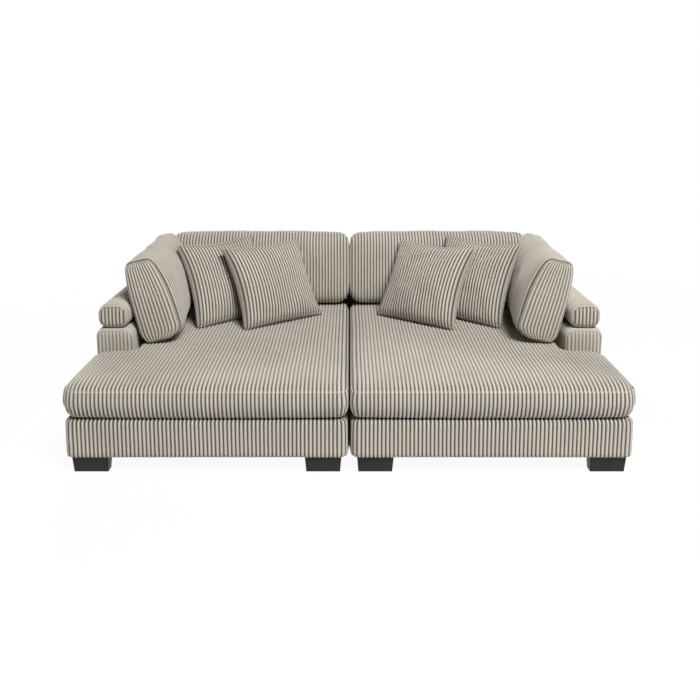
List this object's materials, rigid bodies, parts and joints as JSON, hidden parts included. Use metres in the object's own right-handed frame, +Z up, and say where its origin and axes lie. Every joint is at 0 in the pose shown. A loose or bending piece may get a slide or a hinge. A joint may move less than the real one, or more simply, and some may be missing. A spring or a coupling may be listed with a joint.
{
  "type": "two-piece chaise longue",
  "caption": "Pair of mirrored corduroy chaises on block feet that stand side by side, with loose seat, back, side and scatter cushions.",
  "frame": {"origin": "on the floor, at the centre of the pair's outline seen from above", "axes": "+X to the right seen from the open front, +Y to the back, +Z up"},
  "size_m": [2.65, 1.64, 0.9032],
  "materials": {
    "corduroy": "wide-wale corduroy, beige grey, soft sheen",
    "black_wood": "black satin lacquer",
    "timber": "raw sawn softwood and plywood",
    "felt": "grey needled felt",
    "dust_cloth": "black non-woven cloth",
    "spring_steel": "drawn spring wire",
    "zinc_steel": "zinc plated"
  },
  "bodies": {
    "chaise_left": {"base_cover_left": "corduroy", "base_frame_left": "timber", "seat_spring_1_left": "spring_steel", "seat_spring_2_left": "spring_steel", "seat_spring_3_left": "spring_steel", "seat_spring_4_left": "spring_steel", "seat_spring_5_left": "spring_steel", "deck_pad_left": "felt", "dust_cover_left": "dust_cloth", "foot_front_inner_left": "black_wood", "foot_bolt_front_inner_left": "zinc_steel", "foot_front_outer_left": "black_wood", "foot_bolt_front_outer_left": "zinc_steel", "foot_rear_inner_left": "black_wood", "foot_bolt_rear_inner_left": "zinc_steel", "foot_rear_outer_left": "black_wood", "foot_bolt_rear_outer_left": "zinc_steel", "arm_cover_left": "corduroy", "arm_frame_left": "timber", "arm_roll_left": "corduroy", "back_cover_left": "corduroy", "back_frame_left": "timber", "coupling_tongue_front": "zinc_steel", "coupling_tongue_rear": "zinc_steel"},
    "seat_left": {"seat_cushion_left": "corduroy"},
    "back_cushion_left": {"back_cushion_left": "corduroy"},
    "side_cushion_left": {"side_cushion_left": "corduroy"},
    "scatter_rear_left": {"scatter_cushion_rear_left": "corduroy"},
    "scatter_front_left": {"scatter_cushion_front_left": "corduroy"},
    "chaise_right": {"base_cover_right": "corduroy", "base_frame_right": "timber", "seat_spring_1_right": "spring_steel", "seat_spring_2_right": "spring_steel", "seat_spring_3_right": "spring_steel", "seat_spring_4_right": "spring_steel", "seat_spring_5_right": "spring_steel", "deck_pad_right": "felt", "dust_cover_right": "dust_cloth", "foot_front_inner_right": "black_wood", "foot_bolt_front_inner_right": "zinc_steel", "foot_front_outer_right": "black_wood", "foot_bolt_front_outer_right": "zinc_steel", "foot_rear_inner_right": "black_wood", "foot_bolt_rear_inner_right": "zinc_steel", "foot_rear_outer_right": "black_wood", "foot_bolt_rear_outer_right": "zinc_steel", "arm_cover_right": "corduroy", "arm_frame_right": "timber", "arm_roll_right": "corduroy", "back_cover_right": "corduroy", "back_frame_right": "timber", "coupling_jaws_front": "zinc_steel", "coupling_jaws_rear": "zinc_steel"},
    "seat_right": {"seat_cushion_right": "corduroy"},
    "back_cushion_right": {"back_cushion_right": "corduroy"},
    "side_cushion_right": {"side_cushion_right": "corduroy"},
    "scatter_rear_right": {"scatter_cushion_rear_right": "corduroy"},
    "scatter_front_right": {"scatter_cushion_front_right": "corduroy"}
  },
  "joints": [
    {"name": "chaise_right_apart", "type": "slide", "parent": "chaise_left", "child": "chaise_right", "axis": [1, 0, 0], "range_m": [0, 0.3]},
    {"name": "seat_lift_left", "type": "slide", "parent": "chaise_left", "child": "seat_left", "axis": [0, 0, 1], "range_m": [0, 0.3]},
    {"name": "back_cushion_lift_left", "type": "slide", "parent": "seat_left", "child": "back_cushion_left", "axis": [0, 0.1736, 0.9848], "range_m": [0, 0.25]},
    {"name": "side_cushion_lift_left", "type": "slide", "parent": "back_cushion_left", "child": "side_cushion_left", "axis": [-0.2419, 0, 0.9703], "range_m": [0, 0.25]},
    {"name": "scatter_rear_lift_left", "type": "slide", "parent": "side_cushion_left", "child": "scatter_rear_left", "axis": [0, 0, 1], "range_m": [0, 0.25]},
    {"name": "scatter_front_lift_left", "type": "slide", "parent": "scatter_rear_left", "child": "scatter_front_left", "axis": [0, 0, 1], "range_m": [0, 0.25]},
    {"name": "seat_lift_right", "type": "slide", "parent": "chaise_right", "child": "seat_right", "axis": [0, 0, 1], "range_m": [0, 0.3]},
    {"name": "back_cushion_lift_right", "type": "slide", "parent": "seat_right", "child": "back_cushion_right", "axis": [0, 0.1736, 0.9848], "range_m": [0, 0.25]},
    {"name": "side_cushion_lift_right", "type": "slide", "parent": "back_cushion_right", "child": "side_cushion_right", "axis": [0.2419, 0, 0.9703], "range_m": [0, 0.25]},
    {"name": "scatter_rear_lift_right", "type": "slide", "parent": "side_cushion_right", "child": "scatter_rear_right", "axis": [0, 0, 1], "range_m": [0, 0.25]},
    {"name": "scatter_front_lift_right", "type": "slide", "parent": "scatter_rear_right", "child": "scatter_front_right", "axis": [0, 0, 1], "range_m": [0, 0.25]}
  ]
}
